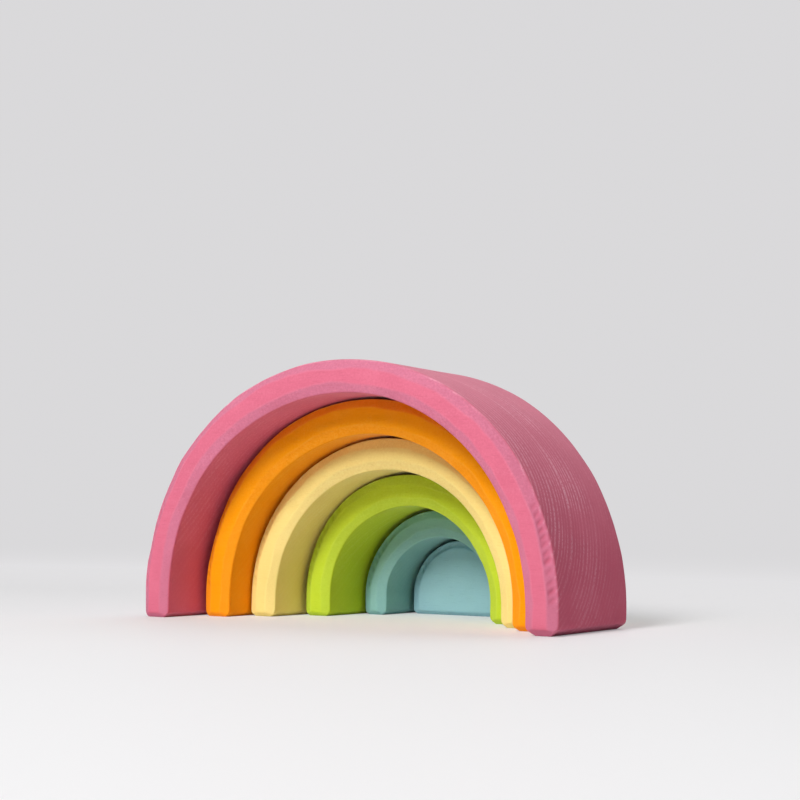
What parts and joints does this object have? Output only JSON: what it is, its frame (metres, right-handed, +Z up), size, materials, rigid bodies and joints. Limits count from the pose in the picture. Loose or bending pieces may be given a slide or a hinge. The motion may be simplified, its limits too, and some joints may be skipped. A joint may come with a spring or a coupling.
{
  "type": "rainbow stacker",
  "caption": "Nest of stained wooden arches around a half-round core, telescoped like a tunnel; loose blocks that slide apart, stack and nest as a toy rainbow.",
  "frame": {"origin": "on the table, below the middle of the nest's length and depth", "axes": "+X along the length from foot to foot, +Y back through the tunnel, +Z up"},
  "size_m": [0.17, 0.145, 0.0925],
  "materials": {
    "pink_stain": "matt water stain on sanded lime wood, grain showing",
    "orange_stain": "matt water stain on sanded lime wood, grain showing",
    "yellow_stain": "matt water stain on sanded lime wood, grain showing",
    "green_stain": "matt water stain on sanded lime wood, grain showing",
    "teal_stain": "matt water stain on sanded lime wood, grain showing",
    "blue_stain": "matt water stain on sanded lime wood, grain showing"
  },
  "bodies": {
    "pink_arch": {"pink_arch": "pink_stain"},
    "orange_arch": {"orange_arch": "orange_stain"},
    "yellow_arch": {"yellow_arch": "yellow_stain"},
    "green_arch": {"green_arch": "green_stain"},
    "teal_arch": {"teal_arch": "teal_stain"},
    "blue_core": {"blue_core": "blue_stain"}
  },
  "joints": [
    {"name": "orange_slide", "type": "slide", "parent": "pink_arch", "child": "orange_arch", "axis": [0, 1, 0], "range_m": [-0.0855, 0.1365]},
    {"name": "yellow_slide", "type": "slide", "parent": "pink_arch", "child": "yellow_arch", "axis": [0, 1, 0], "range_m": [-0.098, 0.124]},
    {"name": "green_slide", "type": "slide", "parent": "pink_arch", "child": "green_arch", "axis": [0, 1, 0], "range_m": [-0.115, 0.107]},
    {"name": "teal_slide", "type": "slide", "parent": "pink_arch", "child": "teal_arch", "axis": [0, 1, 0], "range_m": [-0.1375, 0.0845]},
    {"name": "blue_slide", "type": "slide", "parent": "pink_arch", "child": "blue_core", "axis": [0, 1, 0], "range_m": [-0.155, 0.0495]}
  ]
}
